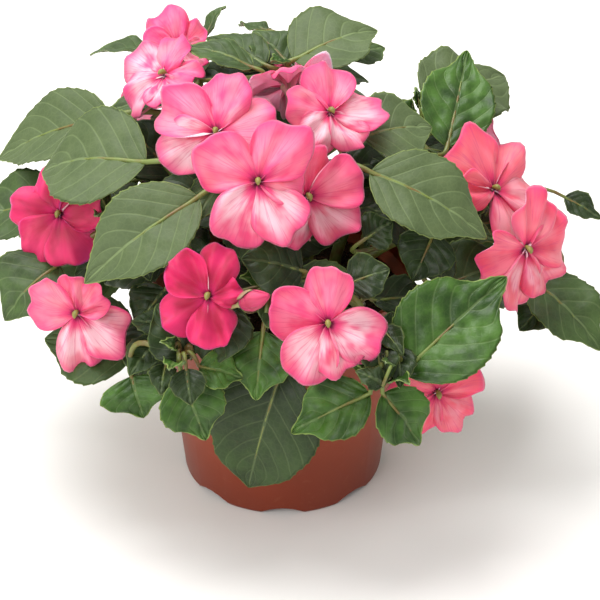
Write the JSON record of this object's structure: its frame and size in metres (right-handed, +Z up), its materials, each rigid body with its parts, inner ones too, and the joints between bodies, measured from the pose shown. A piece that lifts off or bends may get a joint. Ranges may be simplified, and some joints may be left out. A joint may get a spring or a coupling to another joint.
{
  "type": "busy lizzie in a plastic pot",
  "caption": "Bushy busy lizzie with toothed green leaves and flat spurred pink blooms, growing in peat in a round tapered plastic pot with arches at its foot.",
  "frame": {"origin": "the pot's axis on the surface that the pot stands on, centred under the plant", "axes": "+Z up; +X to the right as the picture's viewer stands, along the plant's widest spread; +Y away from that viewer"},
  "size_m": [0.248, 0.1684, 0.1762],
  "materials": {
    "pot": "satin moulded plastic, terracotta brown",
    "soil": "dark crumbly peat",
    "foliage": "soft matt living leaf",
    "petals": "velvety salmon pink petal",
    "bud": "velvety deep pink petal"
  },
  "bodies": {
    "root": {"pot": "pot", "soil": "soil", "shoot_crown_left": "foliage", "shoot_crown_right": "foliage", "shoot_front": "foliage", "shoot_front_left": "foliage", "shoot_front_right": "foliage", "shoot_left": "foliage", "shoot_right": "foliage", "shoot_back_left": "foliage", "shoot_back": "foliage", "shoot_back_right": "foliage", "shoot_low_left": "foliage", "shoot_low_right": "foliage", "shoot_low_back": "foliage", "bloom_middle": "petals", "bloom_middle_right": "petals", "bloom_upper_left": "petals", "bloom_upper_middle": "petals", "bloom_upper_right": "petals", "bloom_high_left": "petals", "bloom_highest": "petals", "bloom_far_left": "petals", "bloom_low_left": "petals", "bloom_far_right": "petals", "bloom_low_right": "petals", "bloom_bottom_right": "petals", "bloom_deep_pink": "petals", "bloom_front": "petals", "bloom_back_left": "petals", "bloom_back_high": "petals", "bloom_back_low": "petals", "bloom_back_right": "petals", "bud": "bud"}
  },
  "joints": []
}
